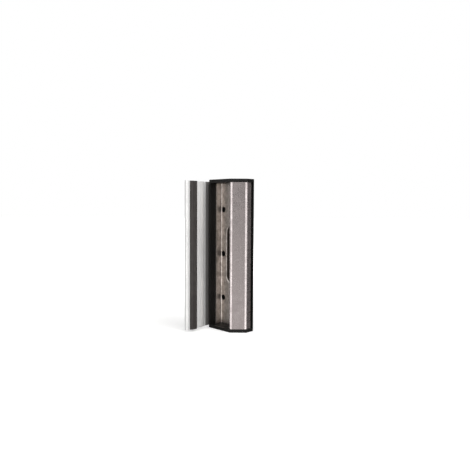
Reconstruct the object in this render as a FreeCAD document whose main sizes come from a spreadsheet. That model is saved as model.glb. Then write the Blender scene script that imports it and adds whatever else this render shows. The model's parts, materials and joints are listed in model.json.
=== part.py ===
"""Electric door strike for a gate post: a full-height keeper that a solenoid pin locks, beside a stop wing.

Frame: the origin is the centre of the mounting face at half height. +Y runs into the post, -Y towards the
gate, +X to the side that the gate opens to, +Z up. Lengths are millimetres.
"""
import FreeCAD, Part
import math
import os
import re
import Sketcher
from FreeCAD import Placement, Rotation, Vector

doc = FreeCAD.newDocument("door_strike")
sheet = doc.addObject("Spreadsheet::Sheet", "Sizes")

# Driving sizes. A "depth" is measured from the mounting face towards the gate, along -Y.
SIZES = {
    # body
    "height": 170.0, "width": 47.5, "depth": 23.8, "cap_thick": 3.6, "edge_break": 0.5,
    "bevel_side": 10.9, "bevel_front": 10.9,
    "cap_screw_left": 18.5, "cap_screw_right": 12.2, "cap_screw_radius": 1.5, "cap_screw_head": 2.9,
    "cap_screw_length": 8.0,
    "wall_thick": 1.75, "wall_depth": 23.6, "base_thick": 6.0, "base_thin": 1.5, "step_x": 15.4,
    # stainless floor plate with its folded flange
    "plate_thick": 1.5, "flange_depth": 15.2, "bend_radius": 1.3, "plate_gap": 0.3,
    "fixing_x": 17.0, "fixing_pitch": 51.0, "fixing_radius": 3.25,
    "slot_x": 2.9, "slot_radius": 8.8, "slot_half": 24.8, "rim_radius": 9.4, "rim_drop": 0.6,
    "recess_floor": 2.9, "dish_thick": 0.8,
    "plate_screw_radius": 1.25, "plate_screw_head": 2.0, "plate_screw_tall": 1.2, "plate_screw_stop": 1.5,
    # keeper
    "jaw_half": 81.0, "jaw_side": 23.4, "jaw_tail": 4.1, "jaw_front": 23.4, "jaw_nose": 7.4,
    "jaw_slope": 35.2, "jaw_thick": 1.5, "nose_radius": 3.0, "side_radius": 6.0, "lip_depth": 19.2,
    "ear_thick": 2.0, "ear_land": 1.1, "ear_nip": 0.8,
    "web_low": 36.0, "web_high": 38.4, "web_back": 8.3, "lug_x": 5.6, "lug_depth": 16.5, "lug_front": 20.7,
    "lug_step": 1.0, "lug_overlap": 4.0,
    "buffer_left": 9.2, "buffer_right": 14.2, "buffer_low": 36.2, "buffer_high": 38.2, "buffer_gap": 0.1,
    "pivot_x": 19.8, "pivot_depth": 6.8, "pivot_radius": 1.2, "pivot_play": 0.05, "ear_radius_x": 2.2,
    "pivot_short": 78.0, "pivot_long": 69.5,
    "torsion_wire": 0.25, "torsion_radius": 1.65, "torsion_low": 71.0, "torsion_high": 78.5,
    "torsion_turns": 7.25, "torsion_clear": 0.1, "torsion_leg": 0.7, "torsion_end": 0.6,
    # solenoid and its locking pin, on one upright axis
    "coil_x": 9.6, "coil_depth": 12.9, "yoke_radius": 4.3, "yoke_thick": 1.2, "yoke_low": 53.3,
    "yoke_high": 77.0, "yoke_back": 7.6, "flange_thick": 0.8, "spool_radius": 4.1, "winding_radius": 3.9,
    "tube_radius": 2.5, "tube_bore": 2.15, "stem_play": 0.15, "armature_radius": 2.05, "armature_low": 63.6,
    "armature_high": 77.9, "pole_radius": 2.1, "pole_high": 60.0, "stem_radius": 1.0,
    "pin_radius": 1.75, "pin_tip": 39.4, "collar_low": 50.4, "collar_thick": 0.8, "collar_radius": 2.7,
    "keyhole_radius": 2.15, "point_length": 0.6, "point_taper": 0.5, "stem_socket": 3.0, "tip_break": 0.4,
    "return_wire": 0.2, "return_radius": 2.3, "return_length": 5.6, "return_turns": 5.25, "return_seat": 1.3,
    "stage_screw_offset": 2.9, "stage_screw_radius": 0.8, "stage_screw_head": 1.3, "stage_screw_tall": 0.8,
    # bracket, bush and covers
    "bracket_low": 40.1, "shelf_thick": 2.2, "stage_low": 52.1, "bracket_thick": 1.0,
    "bracket_screw_x": 2.5, "bracket_screw_z": 47.2,
    "bush_radius": 2.6, "bush_flange": 3.1, "bush_low": 39.15, "bush_head": 1.0, "bush_play": 0.05,
    "cover_low": 39.0, "cover_high": 79.0, "cover_wall": 1.0, "cover_left": 1.2, "cover_front": 18.6,
    "cover_slope": 12.6, "cover_bevel": 32.2, "cover_round": 0.8,
    "foot_reach": 4.7, "foot_root": 0.5, "foot_half": 2.6, "foot_thick": 1.2, "foot_screw": 2.5,
    # stop wing and its rubber strip
    "wing_thick": 4.5, "wing_tip": 56.7, "wing_half": 82.75, "wing_foot": 0.3, "wing_round": 1.6,
    "wing_screw_depth": 3.4, "wing_screw_radius": 1.6, "wing_screw_head": 2.9, "wing_screw_length": 10.2,
    "strip_near": 42.7, "strip_far": 52.3, "strip_proud": 2.5, "neck_half": 2.5, "groove_half": 3.6,
    "neck_deep": 1.1, "groove_deep": 2.7, "strip_play": 0.15,
    "strip_shoulder": 1.125, "strip_bevel": 2.2, "strip_round": 1.2,
    "gap_floor": 20.4, "gap_mouth": 28.3, "shoulder_depth": 2.6, "shoulder_bend": 33.0, "shoulder_round": 18.0,
    # hexagon sockets, as shares of a screw's head
    "sink_socket": 0.7, "sink_socket_deep": 0.4, "cap_socket": 0.8, "cap_socket_deep": 0.55,
    # wiring
    "lead_radius": 0.55, "lead_x": 3.7, "lead_pitch": 1.4, "lead_depth": 11.2, "lead_cross": 9.4,
    "lead_hole_z": 46.0, "lead_hole_radius": 1.9, "lead_back": 1.0, "lead_bend": 2.2, "lead_gap": 0.01,
    "groove_floor": 1.9, "groove_width": 3.2, "groove_past": 1.0,
    "red_start": 60.0, "black_start": 57.6,
    "terminal_left": 5.0, "terminal_right": 13.4, "terminal_front": 15.6, "terminal_low": 62.0,
    "terminal_high": 53.0, "terminal_depth": 11.2, "terminal_near": 7.0, "terminal_far": 11.4,
    "way_radius": 1.1, "sleeve_bore": 0.65, "sleeve_inset": 1.0, "well_radius": 1.3, "well_depth": 13.4,
    "well_z": 57.5, "clamp_radius": 1.2, "clamp_tall": 1.5, "clamp_groove": 0.5, "clamp_groove_half": 0.2,
    "grommet_z": 71.5, "grommet_radius": 3.6, "grommet_bore": 2.4, "grommet_lip": 1.0,
}
for row, (alias, value) in enumerate(SIZES.items(), start=1):
    sheet.set(f"A{row}", alias)
    sheet.set(f"B{row}", str(value))
    sheet.setAlias(f"B{row}", alias)
doc.recompute()

WORD = re.compile(r"[a-z]+(?:_[a-z]+)*")


def sized(formula):
    """The formula with each size's name pointed at its cell."""
    return WORD.sub(lambda m: f"Sizes.{m.group()}" if m.group() in SIZES else m.group(), str(formula))


def value(formula):
    """What a formula comes to, for the first guess of a sketch and for shapes made in code."""
    return float(sheet.evalExpression(sized(formula)))


def bind(obj, prop, formula):
    obj.setExpression(prop, sized(formula))


def place(obj, x="0", y="0", z="0", axis="Z"):
    """Stands an object at a point, its own Z axis turned along +X, -X, +Y, -Y, Z or -Z."""
    turns = {
        "X": Rotation(Vector(0, 1, 0), 90), "-X": Rotation(Vector(0, 1, 0), -90),
        "Y": Rotation(Vector(1, 0, 0), -90), "-Y": Rotation(Vector(1, 0, 0), 90),
        "Z": Rotation(), "-Z": Rotation(Vector(1, 0, 0), 180),
    }
    obj.Placement = Placement(Vector(value(x), value(y), value(z)), turns[axis])
    for letter, formula in zip("xyz", (x, y, z)):
        bind(obj, f".Placement.Base.{letter}", formula)
    return obj


# ---------------------------------------------------------------- sketched bodies
volumes = {}  # each body's volume after its latest feature
LEAST_CHANGE = 1e-6  # cubic mm that a feature must add or take
TOUCH = 1e-3  # mm within which two heights are the same
ALONG = 0.999  # cosine from which two directions are the same


def new_body(name):
    body = doc.addObject("PartDesign::Body", name)
    body.Label = name
    return body


def new_sketch(body, name, plane, offset):
    """A sketch on one of the body's own planes. XY is the section's; on XZ, the offset is a depth."""
    sketch = body.newObject("Sketcher::SketchObject", f"{body.Name}_{name}")
    support = next(f for f in body.Origin.OriginFeatures if f.Role == f"{plane}_Plane")
    sketch.AttachmentSupport = [(support, "")]
    sketch.MapMode = "FlatFace"
    sketch.AttachmentOffset = Placement(Vector(0, 0, value(offset)), Rotation())
    bind(sketch, ".AttachmentOffset.Base.z", offset)
    return sketch


def pin_point(sketch, geometry, point, x, y):
    """Holds one point of a sketch at two formulas, measured from the sketch's origin."""
    for kind, formula in (("DistanceX", x), ("DistanceY", y)):
        index = sketch.addConstraint(
            Sketcher.Constraint(kind, -1, 1, geometry, point, value(formula)))
        bind(sketch, f"Constraints[{index}]", formula)


def polygon(body, name, corners, plane="XY", offset="0"):
    sketch = new_sketch(body, name, plane, offset)
    points = [Vector(value(x), value(y), 0) for x, y in corners]
    count = len(points)
    for i in range(count):
        sketch.addGeometry(Part.LineSegment(points[i], points[(i + 1) % count]), False)
    for i in range(count):
        sketch.addConstraint(Sketcher.Constraint("Coincident", i, 2, (i + 1) % count, 1))
    for i, (x, y) in enumerate(corners):
        pin_point(sketch, i, 1, x, y)
    return sketch


def circles(body, name, centres, radius, plane="XY", offset="0"):
    sketch = new_sketch(body, name, plane, offset)
    for i, (x, y) in enumerate(centres):
        centre = Vector(value(x), value(y), 0)
        sketch.addGeometry(Part.Circle(centre, Vector(0, 0, 1), value(radius)), False)
        pin_point(sketch, i, 3, x, y)
        index = sketch.addConstraint(Sketcher.Constraint("Radius", i, value(radius)))
        bind(sketch, f"Constraints[{index}]", radius)
    return sketch


def stadium(body, name, centre_x, radius, half, plane="XZ", offset="0"):
    """An upright slot outline: two half circles, a distance 2 * half apart, joined by straight sides."""
    sketch = new_sketch(body, name, plane, offset)
    x, r, s = value(centre_x), value(radius), value(half)
    normal = Vector(0, 0, 1)
    top, bottom = Vector(x, s, 0), Vector(x, -s, 0)
    sketch.addGeometry(Part.ArcOfCircle(Part.Circle(top, normal, r), 0, math.pi), False)
    sketch.addGeometry(Part.LineSegment(top + Vector(-r, 0, 0), bottom + Vector(-r, 0, 0)), False)
    sketch.addGeometry(Part.ArcOfCircle(Part.Circle(bottom, normal, r), math.pi, 2 * math.pi), False)
    sketch.addGeometry(Part.LineSegment(bottom + Vector(r, 0, 0), top + Vector(r, 0, 0)), False)
    for i in range(4):
        sketch.addConstraint(Sketcher.Constraint("Tangent", i, 2, (i + 1) % 4, 1))
    pin_point(sketch, 0, 3, centre_x, half)
    pin_point(sketch, 2, 3, centre_x, f"-({half})")
    index = sketch.addConstraint(Sketcher.Constraint("Radius", 0, r))
    bind(sketch, f"Constraints[{index}]", radius)
    return sketch


def pad(body, sketch, length):
    feature = body.newObject("PartDesign::Pad", f"{sketch.Name}_pad")
    feature.Profile = sketch
    feature.Length = value(length)
    bind(feature, "Length", length)
    finish_feature(body, feature, 1)
    return feature


def pocket(body, sketch, length):
    """Cuts along the sketch's normal: upwards from an XY sketch, towards the gate from an XZ one."""
    feature = body.newObject("PartDesign::Pocket", f"{sketch.Name}_pocket")
    feature.Profile = sketch
    feature.Length = value(length)
    feature.Reversed = True
    bind(feature, "Length", length)
    finish_feature(body, feature, -1)
    return feature


def finish_feature(body, feature, sign):
    """Recomputes, and stops if the feature failed or changed the volume the wrong way."""
    before = volumes.get(body.Name, 0.0)
    feature.Profile[0].Visibility = False
    doc.recompute()
    if feature.Shape.isNull() or (feature.Shape.Volume - before) * sign <= LEAST_CHANGE:
        raise RuntimeError(f"{feature.Name} changed nothing")
    volumes[body.Name] = feature.Shape.Volume


def edges_along(shape, direction, spots, reach=0.05):
    """Names of the straight edges that run along a direction and pass a spot, given as three formulas."""
    names = []
    for number, edge in enumerate(shape.Edges, start=1):
        if edge.Curve.TypeId != "Part::GeomLine":
            continue
        way = edge.Vertexes[-1].Point - edge.Vertexes[0].Point
        if way.Length < TOUCH or abs(way.normalize().dot(direction)) < ALONG:
            continue
        point = edge.CenterOfMass
        for spot in spots:
            flat = point - direction * point.dot(direction)
            target = Vector(*[value(f) for f in spot])
            target = target - direction * target.dot(direction)
            if (flat - target).Length < reach:
                names.append(f"Edge{number}")
                break
    return names


def fillet(body, radius, spots, direction=Vector(0, 0, 1)):
    """Rounds the upright edges at the given spots."""
    base = body.Tip
    names = edges_along(base.Shape, direction, spots)
    if len(names) < len(spots):
        raise RuntimeError(f"{body.Name}: {len(names)} edges found for {len(spots)} spots")
    feature = body.newObject("PartDesign::Fillet", f"{base.Name}_fillet")
    feature.Base = (base, names)
    feature.Radius = value(radius)
    bind(feature, "Radius", radius)
    doc.recompute()
    volumes[body.Name] = feature.Shape.Volume
    return feature


def rim_chamfer(body, size, test):
    """Breaks the edges of a body that a test picks, such as the outline of its outer face."""
    base = body.Tip
    names = [f"Edge{n}" for n, edge in enumerate(base.Shape.Edges, start=1) if test(edge)]
    feature = body.newObject("PartDesign::Chamfer", f"{base.Name}_chamfer")
    feature.Base = (base, names)
    feature.Size = value(size)
    bind(feature, "Size", size)
    doc.recompute()
    volumes[body.Name] = feature.Shape.Volume
    return feature


# ---------------------------------------------------------------- primitives and booleans
def cylinder(name, radius, length, x="0", y="0", z="0", axis="Z"):
    solid = doc.addObject("Part::Cylinder", name)
    bind(solid, "Radius", radius)
    bind(solid, "Height", length)
    return place(solid, x, y, z, axis)


def cone(name, radius_start, radius_end, length, x="0", y="0", z="0", axis="Z"):
    solid = doc.addObject("Part::Cone", name)
    bind(solid, "Radius1", radius_start)
    bind(solid, "Radius2", radius_end)
    bind(solid, "Height", length)
    return place(solid, x, y, z, axis)


def hexagon(name, across, length, x="0", y="0", z="0", axis="Z"):
    solid = doc.addObject("Part::Prism", name)
    solid.Polygon = 6
    bind(solid, "Circumradius", f"({across}) / sqrt(3)")
    bind(solid, "Height", length)
    return place(solid, x, y, z, axis)


def box(name, low, high):
    """A box between two corners, each three formulas."""
    solid = doc.addObject("Part::Box", name)
    for prop, a, b in zip(("Length", "Width", "Height"), low, high):
        bind(solid, prop, f"({b}) - ({a})")
    return place(solid, *low)


def fuse(name, *solids):
    joined = doc.addObject("Part::MultiFuse", name)
    joined.Shapes = list(solids)
    joined.Label = name
    return joined


def cut(name, base, *tools):
    """The base less the tools, which are joined first when there are several."""
    tool = tools[0] if len(tools) == 1 else fuse(f"{name}_tools", *tools)
    result = doc.addObject("Part::Cut", name)
    result.Base = base
    result.Tool = tool
    result.Label = name
    return result


def group(name, *solids):
    """Several separate solids kept as one sub-part."""
    compound = doc.addObject("Part::Compound", name)
    compound.Links = list(solids)
    compound.Label = name
    return compound


def countersunk_screw(name, shank, head, length, x, y, z, axis):
    """A flat-headed screw whose head face is at the point and whose shank runs along the axis."""
    body = fuse(f"{name}_blank",
                cone(f"{name}_head", head, shank, f"({head}) - ({shank})", x, y, z, axis),
                cylinder(f"{name}_shank", shank, length, x, y, z, axis))
    socket = hexagon(f"{name}_socket", f"({head}) * sink_socket", f"({head}) * sink_socket_deep",
                     x, y, z, axis)
    return cut(name, body, socket)


def cap_screw(name, shank, head, tall, length, x, y, z, axis):
    """A cylinder-headed screw seated at the point, its shank along the axis and its head behind."""
    opposite = axis[1:] if axis.startswith("-") else f"-{axis}"
    letter = axis[-1]
    sign = "-" if axis.startswith("-") else "+"
    spot = {"X": x, "Y": y, "Z": z}
    spot[letter] = f"({spot[letter]}) {'+' if sign == '-' else '-'} ({tall})"
    body = fuse(f"{name}_blank",
                cylinder(f"{name}_head", head, tall, x, y, z, opposite),
                cylinder(f"{name}_shank", shank, length, x, y, z, axis))
    socket = hexagon(f"{name}_socket", f"({head}) * cap_socket", f"({tall}) * cap_socket_deep",
                     spot["X"], spot["Y"], spot["Z"], axis)
    return cut(name, body, socket)


def coil_spring(name, wire, radius, length, turns, x, y, z):
    """A helical spring that starts at the point and winds up the Z axis."""
    helix = doc.addObject("Part::Helix", f"{name}_helix")
    bind(helix, "Radius", radius)
    bind(helix, "Height", length)
    bind(helix, "Pitch", f"({length}) / ({turns})")
    helix.SegmentLength = 1  # one face per turn
    ring = doc.addObject("Part::Circle", f"{name}_wire")
    bind(ring, "Radius", wire)
    ring.Placement = Placement(Vector(value(radius), 0, 0), Rotation(Vector(1, 0, 0), 90))
    bind(ring, ".Placement.Base.x", radius)
    doc.recompute()
    sweep = doc.addObject("Part::Sweep", f"{name}_coil")
    sweep.Sections = [ring]
    sweep.Spine = (helix, [f"Edge{number}" for number in range(1, len(helix.Shape.Edges) + 1)])
    sweep.Solid = True
    sweep.Frenet = True
    doc.recompute()
    return place(sweep, x, y, z)


RUN_SHARE = 0.45  # the most of a run that one of its bends may take


def bent_wire(name, points, radius, widest):
    """A round wire along straight runs joined by arcs, each as large as its runs and a limit allow."""
    corners = [Vector(*[value(f) for f in p]) for p in points]
    edges = []
    bends = []
    start = corners[0]
    for before, corner, after in zip(corners, corners[1:], corners[2:]):
        shorter = min((before - corner).Length, (after - corner).Length)
        come = (before - corner).normalize()
        leave = (after - corner).normalize()
        half_corner = come.getAngle(leave) / 2
        bend = min(value(widest), RUN_SHARE * shorter * math.tan(half_corner))
        bends.append(round(bend, 2))
        run_in = bend / math.tan(half_corner)
        first, last = corner + come * run_in, corner + leave * run_in
        bisector = (come + leave).normalize()
        reach = bend / math.sin(half_corner) - bend
        edges.append(Part.LineSegment(start, first).toShape())
        edges.append(Part.Arc(first, corner + bisector * reach, last).toShape())
        start = last
    edges.append(Part.LineSegment(start, corners[-1]).toShape())
    path = Part.Wire(edges)
    direction = (corners[1] - corners[0]).normalize()
    section = Part.Wire([Part.Circle(corners[0], direction, value(radius)).toShape()])
    tube = path.makePipeShell([section], True, False)
    feature = doc.addObject("Part::Feature", name)
    feature.Shape = Part.Solid(tube) if tube.ShapeType == "Shell" else tube
    feature.Label = name
    print(f"{name}: length {path.Length:.1f} mm, bend radii {bends} mm")
    return feature


# ---------------------------------------------------------------- shared formulas
HALF = "width / 2"
INNER = "height / 2 - cap_thick"
FLOOR = "base_thick + plate_thick"
TALL = f"2 * ({INNER})"
CAP_SCREW_X = ("-cap_screw_left", "cap_screw_right")
WING_SCREW_Z = ("-72", "-25", "25", "72")
COVER_SCREW_Z = ("50", "70")
BRACKET_SCREW_X = ("coil_x - bracket_screw_x", "coil_x + bracket_screw_x")
TERMINAL_X = ("terminal_near", "terminal_far")


# ---------------------------------------------------------------- black tray, caps and their screws
def base_tray():
    """The black profile: a thick back, a thin strip behind the keeper's hinge and the left wall."""
    body = new_body("base_tray")
    section = polygon(body, "section", [
        (f"-({HALF})", "0"), (HALF, "0"), (HALF, "-base_thin"), ("step_x", "-base_thin"),
        ("step_x", "-base_thick"), (f"-({HALF}) + wall_thick", "-base_thick"),
        (f"-({HALF}) + wall_thick", "-wall_depth"), (f"-({HALF})", "-wall_depth"),
    ], offset=f"-({INNER})")
    pad(body, section, TALL)
    recess = stadium(body, "recess", "-slot_x", "slot_radius + dish_thick", "slot_half",
                     offset="recess_floor")
    pocket(body, recess, "base_thick - recess_floor")
    fixings = circles(body, "fixings", fixing_centres(), "fixing_radius", plane="XZ")
    pocket(body, fixings, "base_thick")
    leads = circles(body, "leads", lead_holes(), "lead_hole_radius", plane="XZ")
    pocket(body, leads, "base_thick")
    groove = polygon(body, "groove", rectangle("lead_x", "groove_width / 2", "lead_hole_z + groove_past"),
                     plane="XZ")
    pocket(body, groove, "groove_floor")
    grommet = circles(body, "grommet", [("coil_x", "-grommet_z")], "grommet_radius", plane="XZ")
    pocket(body, grommet, "base_thick")
    taps = circles(body, "taps", plate_screws(), "plate_screw_radius", plane="XZ",
                   offset="plate_screw_stop")
    pocket(body, taps, "base_thick - plate_screw_stop")
    for label, low in (("cap_taps_low", f"-({INNER})"), ("cap_taps_high", f"{INNER} - cap_screw_length")):
        cap_taps = circles(body, label, [(x, "-base_thick / 2") for x in CAP_SCREW_X], "cap_screw_radius",
                           offset=low)
        pocket(body, cap_taps, "cap_screw_length")
    wing_taps = circles(body, "wing_taps", [("-wing_screw_depth", z) for z in WING_SCREW_Z],
                        "wing_screw_radius", plane="YZ", offset=f"-({HALF})")
    pocket(body, wing_taps, "wing_screw_length - wing_thick")
    return body


def rectangle(x, half_x, half_z):
    """Corners of an upright rectangle about a point on the X axis."""
    return [(f"{x} - ({half_x})", f"-({half_z})"), (f"{x} + ({half_x})", f"-({half_z})"),
            (f"{x} + ({half_x})", half_z), (f"{x} - ({half_x})", half_z)]


def fixing_centres():
    return [("-fixing_x", f"{step} * fixing_pitch") for step in (-1, 0, 1)]


def lead_holes():
    return [("lead_x", "-lead_hole_z"), ("lead_x", "lead_hole_z")]


def plate_screws():
    """Where screws pass through the floor plate into the tray: the covers' feet and the bracket."""
    feet = [("cover_left - foot_screw", f"{sign}{z}") for sign in ("", "-") for z in COVER_SCREW_Z]
    return feet + [(x, "bracket_screw_z") for x in BRACKET_SCREW_X]


def floor_plate():
    """Stainless sheet: the pocket's floor, folded forward along its left edge, with a slot-shaped dish."""
    body = new_body("floor_plate")
    left = f"-({HALF}) + wall_thick"
    section = polygon(body, "section", [
        (left, "-flange_depth"), (f"{left} + plate_thick", "-flange_depth"),
        (f"{left} + plate_thick", f"-({FLOOR})"), ("step_x", f"-({FLOOR})"),
        ("step_x", "-base_thick"), (left, "-base_thick"),
    ], offset=f"-({INNER}) + plate_gap")
    pad(body, section, f"{TALL} - 2 * plate_gap")
    fillet(body, "bend_radius", [(f"{left} + plate_thick", f"-({FLOOR})", "0")])
    fillet(body, "bend_radius + plate_thick", [(left, "-base_thick", "0")])
    fixings = circles(body, "fixings", fixing_centres(), "fixing_radius", plane="XZ",
                      offset="base_thick")
    pocket(body, fixings, "plate_thick")
    dish = stadium(body, "dish", "-slot_x", "slot_radius + dish_thick", "slot_half", offset="recess_floor")
    pad(body, dish, "base_thick - recess_floor")
    slot = stadium(body, "slot", "-slot_x", "slot_radius", "slot_half", offset="recess_floor + dish_thick")
    pocket(body, slot, f"{FLOOR} - recess_floor - dish_thick")
    rim_low = stadium(body, "rim_low", "-slot_x", "slot_radius", "slot_half",
                      offset=f"{FLOOR} - rim_drop")
    rim_high = stadium(body, "rim_high", "-slot_x", "rim_radius", "slot_half", offset=FLOOR)
    rim = body.newObject("PartDesign::SubtractiveLoft", "floor_plate_rim")
    rim.Profile = rim_low
    rim.Sections = [rim_high]
    doc.recompute()
    if rim.Shape.Volume >= volumes[body.Name]:
        raise RuntimeError("the slot's rim cut nothing")
    volumes[body.Name] = rim.Shape.Volume
    leads = circles(body, "leads", lead_holes(), "lead_hole_radius", plane="XZ", offset="base_thick")
    pocket(body, leads, "plate_thick")
    grommet = circles(body, "grommet", [("coil_x", "-grommet_z")], "grommet_radius", plane="XZ",
                      offset="base_thick")
    pocket(body, grommet, "plate_thick")
    screws = circles(body, "screws", plate_screws(), "plate_screw_radius", plane="XZ", offset="base_thick")
    pocket(body, screws, "plate_thick")
    return body


def end_cap(name, low):
    """A bevelled black end plate, with two countersunk holes and the keeper's pivot bore."""
    body = new_body(name)
    outline = polygon(body, "outline", [
        (f"-({HALF})", "0"), (HALF, "0"), (HALF, "-bevel_side"), ("bevel_front", "-depth"),
        (f"-({HALF})", "-depth"),
    ], offset=low)
    pad(body, outline, "cap_thick")
    pivot = circles(body, "pivot", [("pivot_x", "-pivot_depth")], "pivot_radius", offset=low)
    pocket(body, pivot, "cap_thick")
    upper = value(low) > 0
    outer = f"{low} + cap_thick" if upper else low
    axis = "-Z" if upper else "Z"
    height = value(outer)
    rim_chamfer(body, "edge_break", lambda e: abs(e.CenterOfMass.z - height) < TOUCH
                and e.Curve.TypeId == "Part::GeomLine" and e.CenterOfMass.y < -TOUCH)
    sinks = [cone(f"{name}_sink{i}", "cap_screw_head", "cap_screw_radius",
                  "cap_screw_head - cap_screw_radius", x, "-base_thick / 2", outer, axis)
             for i, x in enumerate(CAP_SCREW_X)]
    holes = [cylinder(f"{name}_hole{i}", "cap_screw_radius", "cap_thick", x, "-base_thick / 2", low)
             for i, x in enumerate(CAP_SCREW_X)]
    result = cut(f"{name}_bored", body, *sinks, *holes)
    body.Label = f"{name}_blank"
    result.Label = name
    return result


def cap_screws(name, end, axis):
    screws = [countersunk_screw(f"{name}{i}", "cap_screw_radius", "cap_screw_head", "cap_screw_length",
                                x, "-base_thick / 2", end, axis)
              for i, x in enumerate(CAP_SCREW_X)]
    return group(name, *screws)


# ---------------------------------------------------------------- stop wing
def stop_wing():
    """Aluminium blade on the tray's left wall: a shadow gap, a rounded shoulder and the strip's T-groove."""
    body = new_body("stop_wing")
    front = f"-({HALF})"
    back = f"{front} - wing_thick"
    middle = "(strip_near + strip_far) / 2"
    section = polygon(body, "section", [
        (back, "-wing_foot"), (front, "-wing_foot"), (front, "-gap_floor"),
        (f"{front} - shoulder_depth", "-gap_floor"), (f"{front} - shoulder_depth", "-gap_mouth"),
        (front, "-shoulder_bend"), (front, f"-({middle}) + neck_half"),
        (f"{front} - neck_deep", f"-({middle}) + neck_half"),
        (f"{front} - neck_deep", f"-({middle}) + groove_half"),
        (f"{front} - groove_deep", f"-({middle}) + groove_half"),
        (f"{front} - groove_deep", f"-({middle}) - groove_half"),
        (f"{front} - neck_deep", f"-({middle}) - groove_half"),
        (f"{front} - neck_deep", f"-({middle}) - neck_half"),
        (front, f"-({middle}) - neck_half"), (front, "-wing_tip"), (back, "-wing_tip"),
    ], offset="-wing_half")
    pad(body, section, "2 * wing_half")
    fillet(body, "wing_round", [(front, "-wing_tip", "0"), (back, "-wing_tip", "0")])
    fillet(body, "shoulder_round", [(front, "-shoulder_bend", "0")])
    spots = [(back, "-wing_screw_depth", z, "X") for z in WING_SCREW_Z]
    sinks = [cone(f"wing_sink{i}", "wing_screw_head", "wing_screw_radius",
                  "wing_screw_head - wing_screw_radius", *spot)
             for i, spot in enumerate(spots)]
    holes = [cylinder(f"wing_hole{i}", "wing_screw_radius", "wing_thick", *spot)
             for i, spot in enumerate(spots)]
    result = cut("stop_wing_bored", body, *sinks, *holes)
    body.Label = "stop_wing_blank"
    result.Label = "stop_wing"
    return result


def wing_screws():
    back = f"-({HALF}) - wing_thick"
    return group("wing_screws", *[
        countersunk_screw(f"wing_screw{i}", "wing_screw_radius", "wing_screw_head", "wing_screw_length",
                          back, "-wing_screw_depth", z, "X")
        for i, z in enumerate(WING_SCREW_Z)])


def stop_strip():
    """Rubber strip with a D-shaped face and a T-shaped foot that fills the wing's groove."""
    body = new_body("stop_strip")
    front = f"-({HALF})"
    middle = "(strip_near + strip_far) / 2"
    neck, wide = "neck_half - strip_play", "groove_half - strip_play"
    foot = f"{front} - groove_deep + strip_play"
    waist = f"{front} - neck_deep - strip_play"
    section = polygon(body, "section", [
        (front, "-strip_near"), (f"{front} + strip_shoulder", "-strip_near"),
        (f"{front} + strip_proud", "-strip_near - strip_bevel"),
        (f"{front} + strip_proud", "-strip_far + strip_bevel"),
        (f"{front} + strip_shoulder", "-strip_far"), (front, "-strip_far"),
        (front, f"-({middle}) - ({neck})"), (waist, f"-({middle}) - ({neck})"),
        (waist, f"-({middle}) - ({wide})"), (foot, f"-({middle}) - ({wide})"),
        (foot, f"-({middle}) + {wide}"), (waist, f"-({middle}) + {wide}"),
        (waist, f"-({middle}) + {neck}"), (front, f"-({middle}) + {neck}"),
    ], offset="-wing_half")
    pad(body, section, "2 * wing_half")
    fillet(body, "strip_round", [(f"{front} + strip_proud", "-strip_near - strip_bevel", "0"),
                                 (f"{front} + strip_proud", "-strip_far + strip_bevel", "0")])
    return body


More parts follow.
